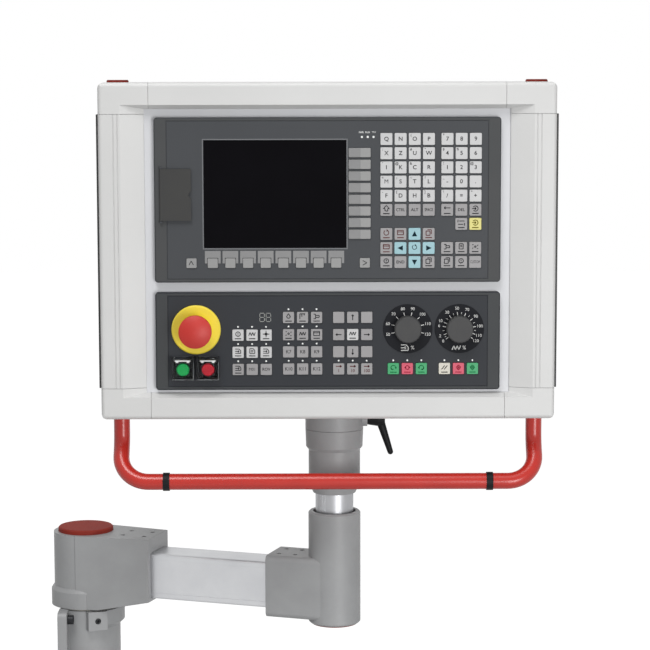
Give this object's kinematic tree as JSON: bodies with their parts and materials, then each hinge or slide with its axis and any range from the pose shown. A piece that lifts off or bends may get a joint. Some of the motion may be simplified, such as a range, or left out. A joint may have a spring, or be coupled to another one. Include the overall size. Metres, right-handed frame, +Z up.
{
  "type": "cnc operator panel on swivel arm",
  "caption": "Machine operator panel: light grey enclosure with a display and key unit over a control unit, red handrail below, on a swivel arm with a wall bracket.",
  "frame": {"origin": "centre of the wall flange bolt pattern, on its mating face", "axes": "+X along the panel front from the wall outwards, +Y away from the operator, +Z up"},
  "size_m": [0.6448, 0.291, 0.8086],
  "materials": {
    "grey_casting": "satin powder coat on cast aluminium",
    "red_cap": "moulded, fine grain",
    "aluminium": "anodised",
    "bearing_plastic": "natural",
    "dark_steel": "blackened",
    "bright_steel": "zinc plated",
    "black_plastic": "moulded",
    "frame_paint": "satin powder coat",
    "plate_paint": "satin paint",
    "rear_paint": "satin paint",
    "black_trim": "matt",
    "rail_paint": "gloss powder coat",
    "bezel": "fine texture",
    "casing": "sheet",
    "screen": "dark, reflective",
    "cover": "fine texture",
    "white_key": "satin",
    "grey_key": "satin",
    "blue_key": "satin",
    "soft_key": "satin",
    "yellow_key": "satin",
    "green_key": "satin",
    "red_key": "satin",
    "cream_key": "satin",
    "stop_yellow": "moulded",
    "stop_red": "moulded",
    "stem": "moulded",
    "button_green": "moulded",
    "button_red": "moulded",
    "clear_lid": "clear polycarbonate",
    "dial": "printed film",
    "knob": "moulded"
  },
  "bodies": {
    "post": {"post_bracket": "grey_casting", "post_grub_screw": "dark_steel", "shoulder_bush": "bearing_plastic"},
    "arm": {"shoulder_housing": "grey_casting", "shoulder_cap": "red_cap", "arm_profile": "aluminium", "arm_grub_screws": "dark_steel", "elbow_housing": "grey_casting", "elbow_cap": "red_cap", "pillar_tube": "aluminium", "coupling_base": "grey_casting", "coupling_bush": "bearing_plastic"},
    "panel": {"coupling_retainer": "dark_steel", "coupling_head": "grey_casting", "coupling_screws": "dark_steel", "frame_top": "frame_paint", "frame_bottom": "frame_paint", "frame_left": "frame_paint", "frame_right": "frame_paint", "corner_castings": "frame_paint", "corner_plugs": "red_cap", "side_strips": "black_trim", "front_plate": "plate_paint", "rear_panel": "rear_paint", "rear_screws": "bright_steel", "handrail": "rail_paint", "handrail_rings": "black_trim", "operator_bezel": "bezel", "operator_casing": "casing", "display_glass": "screen", "usb_hinge_pin": "bright_steel", "operator_white_keys": "white_key", "operator_grey_keys": "grey_key", "operator_blue_keys": "blue_key", "operator_softkeys": "soft_key", "machine_bezel": "bezel", "machine_casing": "casing", "estop_collar": "stop_yellow", "button_guards": "black_plastic", "dial_plates": "dial", "machine_white_keys": "white_key", "machine_grey_keys": "grey_key"},
    "clamp": {"clamp_stud": "dark_steel", "clamp_lever": "black_plastic"},
    "usb_flap": {"usb_cover": "cover"},
    "stop_plunger": {"estop_plunger": "stem"},
    "stop_head": {"estop_mushroom": "stop_red"},
    "on_push": {"on_button": "button_green"},
    "off_push": {"off_button": "button_red"},
    "on_flip": {"on_lid": "clear_lid"},
    "off_flip": {"off_lid": "clear_lid"},
    "spindle_dial": {"spindle_knob": "knob"},
    "feed_dial": {"feed_knob": "knob"},
    "input_push": {"input_key": "yellow_key"},
    "spindle_left_push": {"spindle_left_key": "green_key"},
    "spindle_stop_push": {"spindle_stop_key": "red_key"},
    "spindle_right_push": {"spindle_right_key": "green_key"},
    "reset_push": {"reset_key": "cream_key"},
    "cycle_stop_push": {"cycle_stop_key": "red_key"},
    "cycle_start_push": {"cycle_start_key": "green_key"}
  },
  "joints": [
    {"name": "arm_swivel", "type": "hinge", "parent": "post", "child": "arm", "pos_m": [0.032, 0, 0.1], "axis": [0, 0, 1], "range_deg": [-70, 90]},
    {"name": "panel_swivel", "type": "hinge", "parent": "arm", "child": "panel", "pos_m": [0.35962, -0.11281, 0.3116], "axis": [0, 0, 1], "range_deg": [-150, 150]},
    {"name": "clamp_turn", "type": "hinge", "parent": "panel", "child": "clamp", "pos_m": [0.35962, -0.11281, 0.3226], "axis": [1, 0, 0], "range_deg": [-60, 60]},
    {"name": "usb_flap_hinge", "type": "hinge", "parent": "panel", "child": "usb_flap", "pos_m": [0.14952, -0.19491, 0.6103], "axis": [0, 0, -1], "range_deg": [0, 110]},
    {"name": "stop_push", "type": "slide", "parent": "panel", "child": "stop_plunger", "axis": [0, 1, 0], "range_m": [0, 0.004]},
    {"name": "stop_twist", "type": "hinge", "parent": "stop_plunger", "child": "stop_head", "pos_m": [0.19082, -0.21301, 0.4461], "axis": [0, 1, 0], "range_deg": [0, 45], "stiffness_Nm_per_rad": 0.2},
    {"name": "on_press", "type": "slide", "parent": "panel", "child": "on_push", "axis": [0, 1, 0], "range_m": [0, 0.003], "stiffness_N_per_m": 800},
    {"name": "off_press", "type": "slide", "parent": "panel", "child": "off_push", "axis": [0, 1, 0], "range_m": [0, 0.003], "stiffness_N_per_m": 800},
    {"name": "on_lid_hinge", "type": "hinge", "parent": "panel", "child": "on_flip", "pos_m": [0.17442, -0.20161, 0.4117], "axis": [-1, 0, 0], "range_deg": [0, 105]},
    {"name": "off_lid_hinge", "type": "hinge", "parent": "panel", "child": "off_flip", "pos_m": [0.20502, -0.20161, 0.4117], "axis": [-1, 0, 0], "range_deg": [0, 105]},
    {"name": "spindle_dial_turn", "type": "hinge", "parent": "panel", "child": "spindle_dial", "pos_m": [0.44872, -0.20101, 0.4466], "axis": [0, 1, 0], "range_deg": [-104, 104]},
    {"name": "feed_dial_turn", "type": "hinge", "parent": "panel", "child": "feed_dial", "pos_m": [0.51162, -0.20101, 0.4466], "axis": [0, 1, 0], "range_deg": [-127, 127]},
    {"name": "input_key_press", "type": "slide", "parent": "panel", "child": "input_push", "axis": [0, 1, 0], "range_m": [0, 0.001], "stiffness_N_per_m": 600},
    {"name": "spindle_left_key_press", "type": "slide", "parent": "panel", "child": "spindle_left_push", "axis": [0, 1, 0], "range_m": [0, 0.001], "stiffness_N_per_m": 600},
    {"name": "spindle_stop_key_press", "type": "slide", "parent": "panel", "child": "spindle_stop_push", "axis": [0, 1, 0], "range_m": [0, 0.001], "stiffness_N_per_m": 600},
    {"name": "spindle_right_key_press", "type": "slide", "parent": "panel", "child": "spindle_right_push", "axis": [0, 1, 0], "range_m": [0, 0.001], "stiffness_N_per_m": 600},
    {"name": "reset_key_press", "type": "slide", "parent": "panel", "child": "reset_push", "axis": [0, 1, 0], "range_m": [0, 0.001], "stiffness_N_per_m": 600},
    {"name": "cycle_stop_key_press", "type": "slide", "parent": "panel", "child": "cycle_stop_push", "axis": [0, 1, 0], "range_m": [0, 0.001], "stiffness_N_per_m": 600},
    {"name": "cycle_start_key_press", "type": "slide", "parent": "panel", "child": "cycle_start_push", "axis": [0, 1, 0], "range_m": [0, 0.001], "stiffness_N_per_m": 600}
  ]
}
